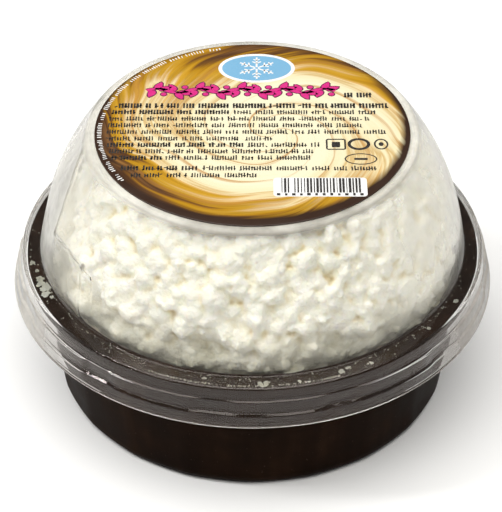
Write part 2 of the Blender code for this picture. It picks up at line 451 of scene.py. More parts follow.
lid = {
    "sheet": 0.55, "skirtRadius": 45.0, "curveRadius": 47.2, "curveBack": 7.3, "curveHeight": 24.7,
    "wallReach": 42, "dimples": 12, "dimpleTurn": -99, "dimpleFlat": 2.6, "dimpleEdge": 5.6,
    "plainStep": 1.5, "fineStep": 0.37, "fineFrom": -102, "fineTo": -36, "wallRings": 62,
    "wallFoot": 29.9, "wallTop": 52.3, "hemHeight": 21.3, "flangeEdge": 43.1, "rimGap": 0.3, "seatGap": 0.05,
    "dentDepth": 0.7, "dentReach": 4.0, "ridgeHeight": 0.09, "ridgeWidth": 0.5, "fluteShare": 0.6,
    "frostSkirt": 0.014, "frostDome": 0.02, "frostRight": 0.40, "hazeShadeLeft": 0.62, "frostShoulder": 0.88,
    "hazeShadeFoot": 0.16, "frostGrazing": 0.65, "frostSides": 0.95, "frostNear": 0.45,
    "frostEdge": 0.35, "markReach": 0.6, "paleLeft": 0.75, "paleRight": 0.45,
}
# where the dented left side folds, in degrees from the front and mm up, and a flute below it
foldLine = [
    (-91.5, 53.3), (-82, 52.2), (-75.5, 47.5), (-73, 43.4), (-72.5, 38.8), (-62, 39.7), (-54, 39.2),
    (-47.5, 38.5), (-42.5, 40.4),
]
foldMarks = [foldLine[4], foldLine[6]]
fluteLine = [
    (-54.5, 37.6), (-53.5, 33.0), (-52.0, 30.2), (-49.5, 29.6), (-47.5, 31.0), (-48.4, 35.0), (-49.5, 39.0),
]


def domeRadius(height, inset):
    rise = height - lid["curveHeight"]
    return np.sqrt((lid["curveRadius"] - inset) ** 2 - rise ** 2) - lid["curveBack"]


def domeCorners(start, end, inset, count):
    return [(domeRadius(height, inset), height, 0, 0) for height in np.linspace(start, end, count)]


def fromLine(side, height, line):
    # distance in mm over the dome from a line of (degrees, height) points
    scale = math.radians(1) * lid["wallReach"]
    nearest = np.full(np.shape(side), np.inf)
    for (a0, h0), (a1, h1) in zip(line, line[1:]):
        along = np.array([(a1 - a0) * scale, h1 - h0])
        gone = np.stack([(side - a0) * scale, height - h0])
        share = np.clip((gone[0] * along[0] + gone[1] * along[1]) / max(along @ along, 1e-9), 0, 1)
        nearest = np.minimum(nearest, np.hypot(gone[0] - share * along[0], gone[1] - share * along[1]))
    return nearest


def ridgeAlong(side, height, line, width):
    return np.exp(-(fromLine(side, height, line) / width) ** 2)


def belowFold(side, height, low, high):
    return ramp(np.interp(side, *zip(*foldLine)) - height, low, high)


def dentDepth(side, height):
    # how far the lid is pushed in, left of and below the fold
    below = belowFold(side, height, -0.3, 0.6)
    fade = within(side, -100, -88, -52, -43) * ramp(height, 30.5, 36)
    away = fromLine(side, height, foldLine)
    return lid["dentDepth"] * (1 - np.exp(-away / lid["dentReach"])) * below * fade


def lidPlastic():
    material, shader, place = newMaterial("clearLidPlastic")
    tree = material.node_tree
    scuff = noiseOn(stretched(place, (900, 900, 160)), 1.0, 4.0, 0.7)
    setInputs(shader, {
        "Base Color": (0.975, 0.965, 0.945, 1), "Transmission Weight": 1.0, "IOR": 1.36,
        "Specular IOR Level": 0.15, "Specular Tint": (1.0, 0.92, 0.89, 1),
        "Roughness": spread(scuff, 0.45, 0.75, 0.02, 0.12),
        "Normal": bumpFrom(noiseOn(place, 45, 2.0), 0.25, 0.6),
    })
    clear = addNode(tree, "ShaderNodeBsdfTransparent", {"Color": (0.97, 0.97, 0.965, 1)})[0]
    # the dry haze of rubbed plastic and of frost inside it, with painted shade in it: a darker tone, brown
    # over the rim and olive-grey on the dome's dented left and foot
    patches = spread(noiseOn(place, 70, 4.0, 0.65), 0.30, 0.65, 0.35, 1.0)
    grazing = addNode(tree, "ShaderNodeLayerWeight", {"Blend": 0.5})["Facing"]
    grazing = spread(grazing, 0.62, 0.97, 0.0, lid["frostGrazing"])
    onDome = spread(heightOf(place), 0.0290, 0.0305)
    hazeShadeTone = blendColours(onDome, (0.44, 0.39, 0.36, 1), (0.43, 0.42, 0.375, 1))
    tone = blendColours(attributeOn(tree, "hazeShade"), (0.93, 0.91, 0.84, 1), hazeShadeTone)
    tone = blendColours(spread(grazing, 0.0, 0.3), tone, (0.80, 0.80, 0.79, 1))
    mark = attributeOn(tree, "mark")
    tone = blendColours(mark, tone, (0.05, 0.04, 0.03, 1))
    passing = feedNode("ShaderNodeBsdfTranslucent", {"Color": tone})[0]
    scattered = feedNode("ShaderNodeBsdfDiffuse", {"Color": tone})[0]
    haze = feedNode("ShaderNodeMixShader", {0: 0.55, 1: passing, 2: scattered})[0]
    hazy = calc("MAXIMUM", times(patches, attributeOn(tree, "frost")), grazing)
    hazy = calc("MAXIMUM", hazy, times(mark, 0.9))
    body = feedNode("ShaderNodeMixShader", {0: hazy, 1: shader.outputs[0], 2: haze})[0]
    path = addNode(tree, "ShaderNodeLightPath")
    through = calc("MAXIMUM", path["Is Shadow Ray"], path["Is Diffuse Ray"])
    mixed = feedNode("ShaderNodeMixShader", {0: through, 1: body, 2: clear})[0]
    tree.links.new(mixed, tree.nodes["Material Output"].inputs["Surface"])
    return material


def lidOutline():
    sheet, edge, hem = lid["sheet"], lid["skirtRadius"], lid["hemHeight"]
    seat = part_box("label")[0].z / mm - lid["seatGap"]
    flange, under = onRim + lid["rimGap"] + sheet, seat - sheet
    flangeUnder, rounded = flange - sheet, seat + 0.12
    return [
        # the flat top, the dome and the flange
        (0, seat, 0, 0), (29.3, seat, 0.3, 0), (29.6, rounded, 0.3, 0),
        (domeRadius(rounded, 0), rounded, 0.9, 0),
        *domeCorners(lid["wallTop"], lid["wallFoot"], 0, lid["wallRings"]),
        (domeRadius(flange, 0) + 0.05, flange, 0.7, 0), (lid["flangeEdge"], flange, 0.45, 0),
        # down the steps of the skirt to its hem, and up again inside
        (43.5, 26.5, 0.2, 0), (44.0, 26.3, 0.2, 0.3), (44.15, 24.0, 0.3, 0.4), (44.6, 23.6, 0.2, 0.3),
        (44.8, 22.0, 0.15, 0), (edge, hem + 0.5, 0.12, 0), (edge, hem, 0.12, 0), (edge - sheet, hem, 0.12, 0),
        (44.3, 21.9, 0.15, 0), (44.15, 23.25, 0.2, 0.3), (43.65, 23.7, 0.2, 0.4), (43.45, 25.9, 0.2, 0.3),
        (42.95, 26.15, 0.2, 0), (42.58, flangeUnder, 0.35, 0),
        (domeRadius(flangeUnder, sheet), flangeUnder, 0.6, 0),
        *domeCorners(lid["wallFoot"] - 0.5, lid["wallTop"] - 0.4, sheet, lid["wallRings"]),
        (domeRadius(under, sheet), under, 0.5, 0), (0, under, 0, 0),
    ]


def shapeLid(radius, height, press, turns):
    side = np.repeat(azimuth(turns)[None, :], len(radius), axis=0)
    away = fromPlaces(turns, math.radians(lid["dimpleTurn"]), lid["dimples"])
    dimple = 1 - ramp(np.degrees(away), lid["dimpleFlat"], lid["dimpleEdge"])
    ridges = ridgeAlong(side, height, foldLine, lid["ridgeWidth"])
    ridges += lid["fluteShare"] * ridgeAlong(side, height, fluteLine, lid["ridgeWidth"])
    onDome = within(height, 29.2, 30.2, 52.0, 52.8)
    inward = (dentDepth(side, height) - lid["ridgeHeight"] * ridges) * onDome
    reach, rise = radius + lid["curveBack"], height - lid["curveHeight"]
    fromCentre = np.hypot(reach, rise)
    return radius - press * dimple - inward * reach / fromCentre, height - inward * rise / fromCentre


def addFrost(mesh):
    # how frosted the lid is, how far the frost takes a darker tone there as painted shade, and the dark marks
    # on the fold
    radius, side, height = aroundAxis(getPoints(mesh))
    dome = ramp(height, 29.2, 30.4)
    foot = (1 - ramp(height, 30.5, 36)) * dome
    left = belowFold(side, height, -0.2, 0.8) * dome * within(side, -104, -88, -64, -50)
    near = dome * within(side, -100, -84, -70, -44) * ramp(height, 35, 42)
    skirt = ramp(radius, 42.9, 43.5) * (1 - dome)
    sides = skirt * within(np.abs(side), 42, 72, 105, 140)
    most = np.maximum.reduce([
        lid["frostRight"] * within(side, 18, 62, 105, 150) * dome, lid["hazeShadeLeft"] * left,
        lid["frostShoulder"] * ramp(height, 52.85, 53.2), lid["hazeShadeFoot"] * foot, lid["frostSides"] * sides,
        lid["frostNear"] * near, lid["frostEdge"] * (1 - ramp(height, 21.35, 21.6)),
    ])
    marks = dome * sum(ridgeAlong(side, height, [place, place], lid["markReach"]) for place in foldMarks)
    # painted shade: the frost darker at the dented left, at the dome's foot, near the fold and over the rim
    # and skirt, paler on the skirt's sides
    hazeShade = np.maximum.reduce([left, foot, 1 - dome, 0.3 * near])
    addValues(mesh, "mark", np.minimum(marks, 1.0))
    addValues(mesh, "frost", lid["frostSkirt"] + lid["frostDome"] * dome + np.maximum(most, 0.85 * marks))
    addValues(mesh, "hazeShade", hazeShade - np.where(side < 0, lid["paleLeft"], lid["paleRight"]) * sides)


def makeLid():
    plain = np.arange(lid["fineTo"], 360 + lid["fineFrom"], lid["plainStep"])
    fine = np.arange(lid["fineFrom"], lid["fineTo"], lid["fineStep"])
    turns = np.radians(np.concatenate([fine, plain]) - 90)
    piece = turnedPiece("lidShell", lidOutline(), turns, lidPlastic(), shapeLid)
    addFrost(piece.data)
    settle(piece, "lid", "lid")
    print("lid done:", len(piece.data.polygons), "faces")


makeLid()


# The ice cream and the meringue crumbs

crumbs = {
    "envelope": 0.85, "top": 52.3, "foot": 28.12, "footReach": 38.6, "overRim": 37.6, "coreInset": 4.0,
    "coreReach": 28.7, "pressedInset": 1.8, "pressedFrom": 14, "pressedTo": 52, "footNotch": 3.2,
    "cell": 1.8, "cellHeight": 0.40, "fineCell": 0.8, "fineHeight": 0.16, "cushion": 0.20,
    "hollowDepth": 3.0, "hollowMiddle": -88, "hollowReach": 34, "steps": 120, "seed": 7,
}
# lumps and then grains on them, each time fused with what is below; in mm but for shares and noise scale
crumbLayers = [
    {"Spacing": 3.2, "Share": 1.0, "Radius": 2.3, "Size Low": (0.6,) * 3, "Size High": (1.25,) * 3,
     "Sink": 1.2, "Rough": 1.5, "Rough Scale": 420.0, "voxel": 0.6},
    {"Spacing": 1.45, "Share": 0.75, "Radius": 0.85, "Size Low": (0.6,) * 3, "Size High": (1.2,) * 3,
     "Sink": 0.6, "Rough": 0.6, "Rough Scale": 900.0, "voxel": 0.41},
]


# Steps that the geometry node trees share

def newTree(name, takes):
    takes = {"Geometry": "Geometry", **takes, "Material": "Material"}
    return newGroup(name, "GeometryNodeTree", takes, {"Geometry": "Geometry"})


def randomNumber(tree, high, seed):
    return addNode(tree, "FunctionNodeRandomValue", {2: 0.0, 3: high, "Seed": seed})[1]


def randomVector(tree, low, high, seed):
    inputs = {0: low, 1: high, "Seed": seed}
    return addNode(tree, "FunctionNodeRandomValue", inputs, data_type="FLOAT_VECTOR")[0]


def movedBy(geometry, offset):
    return feedNode("GeometryNodeSetPosition", {"Geometry": geometry, "Offset": offset})[0]


def grainOf(radius, detail):
    return feedNode("GeometryNodeMeshIcoSphere", {"Radius": radius, "Subdivisions": detail})[0]


def copiesOn(points, copied, turn, size, keep=True):
    inputs = {"Points": points, "Selection": keep, "Instance": copied, "Rotation": turn, "Scale": size}
    placed = feedNode("GeometryNodeInstanceOnPoints", inputs)[0]
    return feedNode("GeometryNodeRealizeInstances", {0: placed})[0]


def roughened(geometry, scale, amount, ways=(1, 1, 1)):
    rough = addNode(geometry.id_data, "ShaderNodeTexNoise", {"Scale": scale, "Detail": 2.0})["Color"]
    shift = vectorCalc("MULTIPLY", vectorCalc("SUBTRACT", rough, (0.5, 0.5, 0.5)), ways)
    return movedBy(geometry, vectorCalc("SCALE", shift, amount))


def smoothed(geometry):
    return feedNode("GeometryNodeSetShadeSmooth", {"Geometry": geometry})[0]


def endTree(tree, geometry, material, leave):
    finished = feedNode("GeometryNodeSetMaterial", {"Geometry": geometry, "Material": material})[0]
    tree.links.new(finished, leave.inputs[0])
    return tree


def makeScatter():
    # lumps on a surface: spaced points, round grains turned at random, roughened by noise
    tree, entry, leave = newTree("scatterCrumbs", {
        "Spacing": "Float", "Share": "Float", "Radius": "Float", "Size Low": "Vector", "Size High": "Vector",
        "Sink": "Float", "Rough": "Float", "Rough Scale": "Float", "Seed": "Int",
    })
    seed = entry["Seed"]
    up = heightOf(tree.nodes.new("GeometryNodeInputNormal").outputs[0])
    outside = feedNode("FunctionNodeCompare", {0: up, 1: -0.4}, operation="GREATER_THAN")[0]
    points = feedNode("GeometryNodeDistributePointsOnFaces", {
        "Mesh": entry["Geometry"], "Selection": outside, "Distance Min": entry["Spacing"],
        "Density Max": 900000.0, "Density Factor": entry["Share"], "Seed": seed,
    }, distribute_method="POISSON")
    depth = times(randomNumber(tree, entry["Sink"], seed), -1.0)
    sunk = movedBy(points["Points"], vectorCalc("SCALE", points["Normal"], depth))
    turn = randomVector(tree, (0, 0, 0), (tau, tau, tau), seed)
    size = randomVector(tree, entry["Size Low"], entry["Size High"], calc("ADD", seed, 5))
    lumps = copiesOn(sunk, grainOf(entry["Radius"], 2), turn, size)
    lumps = roughened(lumps, entry["Rough Scale"], entry["Rough"])
    both = feedNode("GeometryNodeJoinGeometry", {0: lumps})[0]
    tree.links.new(entry["Geometry"], both.node.inputs[0])
    return endTree(tree, smoothed(both), entry["Material"], leave)


def useTree(piece, tree, values):
    modifier = piece.modifiers.new(tree.name, "NODES")
    modifier.node_group = tree
    for socket in tree.interface.items_tree:
        if socket.in_out == "INPUT" and socket.name in values:
            modifier[socket.identifier] = values[socket.name]


def grownPiece(name, host, tree, values):
    # the piece that the tree makes on the host's points or lines
    piece = newPiece(name, host)
    useTree(piece, tree, values)
    bakeModifiers(piece)
    return piece


def insideLid(points):
    # keep crumbs inside the lid, dent included, and above the tub's rim where they lie over it
    radius, side, height = aroundAxis(points)
    limit = lid["curveRadius"] - crumbs["envelope"] - dentDepth(side, height)
    reach, rise = radius + lid["curveBack"], height - lid["curveHeight"]
    share = np.minimum(1.0, limit / np.hypot(reach, rise))
    newRadius = np.where(rise > 0, reach * share - lid["curveBack"], radius)
    newHeight = np.where(rise > 0, rise * share + lid["curveHeight"], height)
    newHeight = np.minimum(newHeight, crumbs["top"])
    newHeight = np.where(newRadius > crumbs["overRim"], np.maximum(newHeight, crumbs["foot"]), newHeight)
    held = np.minimum(newRadius, crumbs["footReach"])
    newRadius = np.where(newHeight < crumbs["foot"] + 0.2, held, newRadius)
    scale = newRadius / np.maximum(radius, 1e-6)
    return np.stack([points[:, 0] * scale, points[:, 1] * scale, newHeight], axis=1)


def averaged(values, pairs, rounds):
    # each point's value again and again the mean of its neighbours' values
    one, other = pairs.T
    many = len(values)
    count = np.bincount(pairs.ravel(), minlength=many)[:, None]
    for _ in range(rounds):
        totals = [np.bincount(one, column[other], many) + np.bincount(other, column[one], many)
                  for column in values.T]
        values = np.stack(totals, axis=1) / count
    return values


def edgePairs(mesh):
    flat = np.zeros(len(mesh.edges) * 2, np.int32)
    mesh.edges.foreach_get("vertices", flat)
    return flat.reshape(-1, 2)


def getNormals(mesh):
    return readVectors(mesh.vertex_normals, "vector")


def meringue():
    material, shader, place = newMaterial("meringue")
    height, patches = addGrain(place, 1100)
    warm = noiseOn(place, 210, 3.0, 0.6)
    # darker and yellower in the crevices: the cream between the crumbs, and painted shade where they are deep
    deep = times(attributeOn(material.node_tree, "crevice"), spread(warm, 0.36, 0.62, 0.25, 1.0))
    tone = colourSteps(deep, [
        (0.0, (0.965, 0.95, 0.845, 1)), (0.28, (0.94, 0.90, 0.745, 1)), (0.55, (0.85, 0.76, 0.53, 1)),
        (1.0, (0.58, 0.44, 0.22, 1)),
    ])
    # painted shade: greyer and darker towards the foot
    uneven = timesPlus(noiseOn(place, 130, 2.0), -0.016, heightOf(place))
    footShade = spread(uneven, 0.0195, 0.0275, 0.9, 0.0)
    sugar = feedNode("ShaderNodeTexVoronoi", {"Vector": place, "Scale": 1500.0})["Distance"]
    setInputs(shader, {
        "Base Color": blendColours(footShade, tone, (0.37, 0.365, 0.285, 1)),
        "Roughness": spread(patches, 0, 1, 0.72, 0.92), "Specular IOR Level": 0.12,
        "Subsurface Weight": 0.5, "Subsurface Radius": (1.0, 0.85, 0.6), "Subsurface Scale": 0.9 * mm,
        "Normal": bumpFrom(timesPlus(sugar, -0.9, height), 0.8, 0.22),
    })
    return material


def iceCream():
    material, shader, place = newMaterial("iceCream")
    height, patches = addGrain(place, 700)
    setInputs(shader, {
        "Base Color": blendColours(patches, (0.84, 0.78, 0.62, 1), (0.88, 0.83, 0.70, 1)),
        "Roughness": spread(height, 0.3, 0.9, 0.35, 0.6), "Subsurface Weight": 0.3,
        "Subsurface Radius": (1.2, 0.9, 0.6), "Subsurface Scale": 1.2 * mm,
        "Normal": bumpFrom(height, 0.4, 0.15),
    })
    return material


def makeCore():
    # the mound under the crumbs, moved in at the left where it stands off the lid
    inset = crumbs["coreInset"]
    top = crumbs["top"] + crumbs["envelope"] - inset
    corners = [
        (0, top, 0, 0), (domeRadius(top, inset), top, 1.5, 0), *domeCorners(top - 2, 30.5, inset, 16),
        (36.9, 29.0, 0, 0), (36.6, 25.8, 0, 0), (0, 25.8, 0, 0),
    ]

    def shape(radius, height, press, turns):
        side = azimuth(turns)
        away = np.abs((side - crumbs["hollowMiddle"] + 180) % 360 - 180) / crumbs["hollowReach"]
        hollow = crumbs["hollowDepth"] * (1 + np.cos(math.pi * np.minimum(1, away))) / 2
        pressed = within(side, crumbs["pressedFrom"], crumbs["pressedTo"], 110, 150)
        depth = hollow - pressed * (inset - crumbs["pressedInset"])
        ragged = np.array([noise.noise(Vector((*onCircle(3.5, turn), 5.0))) for turn in turns])
        depth = depth + crumbs["footNotch"] * ramp(ragged, -0.1, 0.4) * (1 - ramp(height, 29, 34))
        outward = np.minimum(1, radius / crumbs["coreReach"]) ** 2
        return radius - depth * outward * ramp(height, 28.5, 32), height

    return turnedPiece("meringueCrust", corners, allRound(crumbs["steps"]), shape=shape)


def cellCushions(points, cell):
    # how far each point is from the middle of its cell, squared: 0 in the middle, near 1 at the seams
    return np.array([noise.voronoi(Vector(point) / cell)[0][0] ** 2 for point in points])[:, None]


def fuse(piece, voxel):
    modifier = piece.modifiers.new("fuse", "REMESH")
    modifier.mode = "VOXEL"
    modifier.voxel_size = voxel * mm
    modifier.use_smooth_shade = True


def makeCrust(material):
    crust, scatter = makeCore(), makeScatter()
    for number, layer in enumerate(crumbLayers):
        sizes = {name: layer[name] * mm for name in ("Spacing", "Radius", "Sink", "Rough")}
        useTree(crust, scatter, {**layer, **sizes, "Seed": crumbs["seed"] + number, "Material": material})
        fuse(crust, layer["voxel"])
    bakeModifiers(crust)
    mesh = crust.data
    mesh.materials.clear()
    mesh.materials.append(material)
    pairs, points = edgePairs(mesh), getPoints(mesh)
    points += 0.5 * (averaged(points, pairs, 1) - points)
    setPoints(mesh, points)
    coarse, fine = cellCushions(points, crumbs["cell"]), cellCushions(points, crumbs["fineCell"])
    normals = getNormals(mesh)
    rise = crumbs["cellHeight"] * (0.4 - coarse) + crumbs["fineHeight"] * (0.4 - fine)
    points = insideLid(points + normals * rise) - normals * coarse * crumbs["cushion"]
    setPoints(mesh, points)
    # how far each point sinks below its neighbours, for the crevices' darker tone, partly painted shade
    sunk = np.einsum("ij,ij->i", averaged(points, pairs, 14) - points, getNormals(mesh))
    addValues(mesh, "crevice", np.clip((sunk + 0.02) / 0.55, 0, 1))
    settle(crust, "ice_cream", "ice_cream")
    print("crust done:", len(mesh.polygons), "faces")


loose = {
    "floor": 28.03, "thick": 0.24, "edge": 41.75, "edgeFrom": -26, "edgeTo": 24, "edgeCount": 170,
    "innerEdge": 39.9, "innerCount": 110, "dustCount": 160, "clusterCount": 9, "seed": 12,
}
# single crumbs on the rim: degrees from the front, mm from the axis, mm across
looseOnes = [
    (2.6, 41.3, 1.9), (3.6, 40.9, 1.2), (1.7, 40.8, 0.9), (22.6, 40.9, 1.5), (24.6, 40.4, 1.1),
    (30.3, 41.2, 1.3), (-80.1, 41.4, 1.6), (-77, 40.9, 1.0), (-73.3, 40.7, 2.2), (-70.5, 41.0, 2.6),
    (-69.7, 40.0, 2.6), (-68, 40.9, 2.6), (-66.5, 41.3, 1.5), (-65, 40.4, 1.2), (11.5, 41.2, 0.8),
    (-12, 40.5, 0.8), (50.6, 40.9, 1.1), (64, 41.2, 1.4), (112, 40.6, 1.6), (150, 41.0, 1.3),
    (-134, 40.8, 1.5), (-160, 41.2, 1.0),
]


def makeLooseTree():
    # one rough grain on each point of the host, as large as the point's size says
    tree, entry, leave = newTree("looseGrains", {"Detail": "Int", "Rough": "Float"})
    size = addNode(tree, "GeometryNodeInputNamedAttribute", {"Name": "size"}, data_type="FLOAT_VECTOR")[0]
    turn = randomVector(tree, (0, 0, 0), (0, 0, tau), loose["seed"])
    grains = copiesOn(entry["Geometry"], grainOf(0.5, entry["Detail"]), turn, size)
    grains = roughened(grains, 1400.0, entry["Rough"], (1, 1, 0))
    return endTree(tree, smoothed(grains), entry["Material"], leave)


def asClusters(places):
    # every crumb as a handful of smaller grains
    chance = np.random.default_rng(loose["seed"] + 1)
    grains = []
    for side, reach, across in places:
        for _ in range(loose["clusterCount"]):
            away = across * 0.36 * chance.uniform(0.2, 1) ** 0.5
            beside, outward = onCircle(away, chance.uniform(0, tau))
            place = side + math.degrees(beside / reach), reach + 0.7 * outward
            grains.append((*place, across * chance.uniform(0.22, 0.5)))
    return grains


def makeLoose(name, tree, material, places, detail, rough):
    # places are (degrees from the front, mm from the axis, mm across)
    side, reach, across = np.array(places).T
    thick = np.minimum(across * 0.7, loose["thick"])
    turns = np.radians(side - 90)
    points = np.stack([reach * np.cos(turns), reach * np.sin(turns), loose["floor"] + thick / 2], axis=1) * mm
    host = bpy.data.meshes.new(name)
    host.from_pydata(points.tolist(), [], [])
    sizes = np.stack([across, across * 0.75, thick], axis=1) * mm
    attribute = host.attributes.new("size", "FLOAT_VECTOR", "POINT")
    attribute.data.foreach_set("vector", sizes.astype(np.float32).ravel())
    piece = grownPiece(name, host, tree, {"Detail": detail, "Rough": rough * mm, "Material": material})
    addValues(piece.data, "crevice", np.zeros(len(piece.data.vertices)))
    settle(piece, "ice_cream", "ice_cream")


def looseDust():
    # specks along the rim's outer edge and round the dome's foot, and a few anywhere on the rim
    chance = np.random.default_rng(loose["seed"])
    edge, inner, dust = loose["edgeCount"], loose["innerCount"], loose["dustCount"]
    side = [chance.uniform(loose["edgeFrom"], loose["edgeTo"], edge), chance.uniform(-75, 75, inner),
            chance.uniform(-180, 180, dust)]
    reach = [chance.normal(loose["edge"], 0.10, edge), chance.normal(loose["innerEdge"], 0.18, inner),
             chance.uniform(39.3, 41.8, dust)]
    across = [chance.uniform(0.12, 0.42, count) ** 1.2 for count in (edge, inner, dust)]
    return np.stack([np.concatenate(column) for column in (side, reach, across)], axis=1)


def makeFill():
    # the ice cream that fills the tub, up into the mound
    inner, floor = tub["wall"] + 0.55, 1.95
    corners = [
        (0, floor, 0, 0), (tub["footRadius"] - inner - 0.3, floor, 1.5, 0),
        (tub["mouthRadius"] - inner, 24.6, 0.4, 0), (36.8, 25.2, 0.3, 0), (30.0, 28.0, 0, 0), (0, 28.5, 0, 0),
    ]
    piece = turnedPiece("iceCreamFill", corners, allRound(crumbs["steps"]), iceCream())
    settle(piece, "ice_cream", "ice_cream")


meringueFinish = meringue()
makeCrust(meringueFinish)
makeFill()
looseTree = makeLooseTree()
makeLoose("looseCrumbs", looseTree, meringueFinish, asClusters(looseOnes), 2, 0.3)
makeLoose("crumbDust", looseTree, meringueFinish, looseDust(), 1, 0.12)
print("ice cream and crumbs done")


# The label's paper

label = {"radius": 28.7, "steps": 180}


def flatAxes(place):
    return feedNode("ShaderNodeSeparateXYZ", {0: place})[:2]


def lengthOf(x, y):
    return calc("SQRT", calc("ADD", times(x, x), times(y, y)))


def joinAxes(*values):
    return feedNode("ShaderNodeCombineXYZ", dict(enumerate(values)))[0]


def printGloss(place, scale, roughness, coat, bump):
    # the grain's height, and what a printed surface is like apart from its colour
    height, patches = addGrain(place, scale)
    return height, {
        "Roughness": spread(patches, 0, 1, *roughness), "Coat Weight": coat, "Coat Roughness": 0.15,
        "Normal": bumpFrom(height, *bump),
    }


def labelPaper():
    # caramel and cream stirred together, in two arms wound round a point right of the middle
    material, shader, place = newMaterial("printedPaper")
    centred = stretched(place, (1e3,) * 3, (-4.0, 0.8, 0))
    x, y = flatAxes(centred)
    reach = lengthOf(x, y)
    warp = calc("SUBTRACT", noiseOn(centred, 0.05, 1.0), 0.5)
    winding = times(calc("LOGARITHM", calc("ADD", reach, 5.0), math.e), 7.0)
    phase = timesPlus(calc("ARCTAN2", y, x), 2.0, timesPlus(warp, 3.0, winding))
    wave = calc("SINE", phase)
    around = joinAxes(wave, calc("COSINE", phase), times(reach, 0.03))
    streaks = calc("SUBTRACT", noiseOn(around, 1.7, 4.0, 0.58), 0.5)
    outer = spread(reach, 9.0, 31.0)
    dark = times(calc("POWER", outer, 1.5), 0.74)
    dark = timesPlus(wave, timesPlus(outer, 0.16, 0.07), dark)
    dark = timesPlus(streaks, timesPlus(outer, 1.1, 0.35), dark)
    tone = colourSteps(dark, [
        (0.0, shade(240, 233, 200)), (0.20, shade(236, 224, 182)), (0.29, shade(208, 176, 116)),
        (0.34, shade(232, 214, 166)), (0.42, shade(206, 168, 108)), (0.48, shade(192, 148, 44)),
        (0.57, shade(178, 130, 14)), (0.65, shade(118, 78, 26)), (0.74, shade(78, 48, 24)),
        (0.83, shade(116, 80, 44)), (1.0, shade(46, 28, 18)),
    ])
    # light and dark within the bands
    sheen = spread(noiseOn(around, 6.5), 0.32, 0.68, 0.76, 1.16)
    gloomy = joinAxes(sheen, sheen, sheen)
    tone = blendColours(spread(dark, 0.3, 0.45), tone, gloomy, "MULTIPLY")
    # fine caramel threads through the cream
    thread = calc("SINE", timesPlus(streaks, 5.0, times(phase, 3.0)))
    thread = times(spread(thread, 0.90, 1.0), spread(streaks, -0.05, 0.12))
    tone = blendColours(times(thread, 0.8), tone, shade(186, 132, 64))
    # a dark border, wider at the front
    x, y = flatAxes(place)
    fromMiddle = timesPlus(y, -0.045, lengthOf(x, y))
    border = spread(timesPlus(streaks, 0.0018, fromMiddle), 0.0268, 0.0281)
    gloss = printGloss(place, 1500, (0.30, 0.42), 0.12, (0.15, 0.03))[1]
    setInputs(shader, {"Base Color": blendColours(border, tone, shade(52, 32, 20)), **gloss})
    return material


def makeLabel():
    low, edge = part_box("label")[0].z / mm, label["radius"]
    corners = [(0, low, 0, 0), (edge, low, 0.05, 0), (edge, onLabel, 0.1, 0)]
    corners += [(radius, onLabel, 0, 0) for radius in np.linspace(edge - 2, 2, 8)]
    corners += [(0, onLabel, 0, 0)]
    settle(turnedPiece("labelPaper", corners, allRound(label["steps"]), labelPaper()), "label", "label")


# What is printed on it: plain marks in rows, a leafy band, a snow crystal, a striped panel

ink = {"thick": 0.02, "seed": 3, "borderRadius": 27.35, "borderFrom": -214, "borderTo": -102}
# rows of marks: height on the label, from and to across it, and the kind of mark
markRows = [
    (7.1, -25.0, 24.6, "heading"), (5.1, -25.6, -4.4, "bold"), (5.1, -3.2, 22.4, "plain"),
    (3.0, -26.0, 22.2, "plain"), (0.9, -26.2, 19.7, "plain"), (-1.2, -26.3, 24.0, "plain"),
    (-3.3, -26.3, 3.6, "plain"), (-5.3, -26.0, -1.8, "bold"), (-5.3, -0.6, 11.9, "plain"),
    (-7.3, -25.6, 10.7, "plain"), (-9.3, -25.0, -16.4, "bold"), (-9.3, -15.4, 10.3, "plain"),
    (-12.5, -23.2, -9.6, "bold"), (-12.5, -8.6, 21.8, "plain"), (-14.6, -21.4, 2.6, "plain"),
    (10.6, 17.2, 21.8, "heading"),
]
# for each kind its marks' spacing, smallest and largest size, the share left out and the lift, in mm
markKinds = {
    "heading": (0.54, (0.32, 1.5, 1), (0.44, 1.6, 1), 0.05, 0.0),
    "bold": (0.50, (0.28, 1.1, 1), (0.38, 1.5, 1), 0.04, 0.05),
    "plain": (0.46, (0.20, 1.0, 1), (0.29, 1.45, 1), 0.05, 0.05),
    "headingBars": (0.74, (0.5, 0.30, 1), (0.75, 0.36, 1), 0.2, 1.2),
    "boldBars": (0.64, (0.4, 0.28, 1), (0.62, 0.34, 1), 0.15, 0.85),
    "plainBars": (0.60, (0.38, 0.22, 1), (0.58, 0.28, 1), 0.15, 0.85),
    "border": (0.50, (0.14, 0.5, 1), (0.28, 0.9, 1), 0.0, 0.1),
    "stripe": (0.56, (0.12, 4.3, 1), (0.52, 4.3, 1), 0.06, 0.0),
    "tiny": (1.25, (0.4, 0.6, 1), (0.7, 0.75, 1), 0.0, 0.0),
}


def asWords(left, right, seed, low=1.6, high=6.0, gap=1.15):
    # stretches of chance length with gaps between them
    chance = np.random.default_rng(seed)
    stretches = []
    while left < right - 0.9:
        end = min(left + chance.uniform(low, high), right)
        stretches.append((left, end))
        left = end + gap
    return stretches


def inkFinish(name, colour):
    material, shader, place = newMaterial(name)
    height, gloss = printGloss(place, 2200, (0.32, 0.46), 0.2, (0.1, 0.02))
    paler = tuple(0.90 * c + 0.05 for c in colour[:3]) + (1.0,)
    tone = blendColours(spread(height, 0.5, 0.9), colour, paler)
    setInputs(shader, {"Base Color": tone, **gloss})
    return material


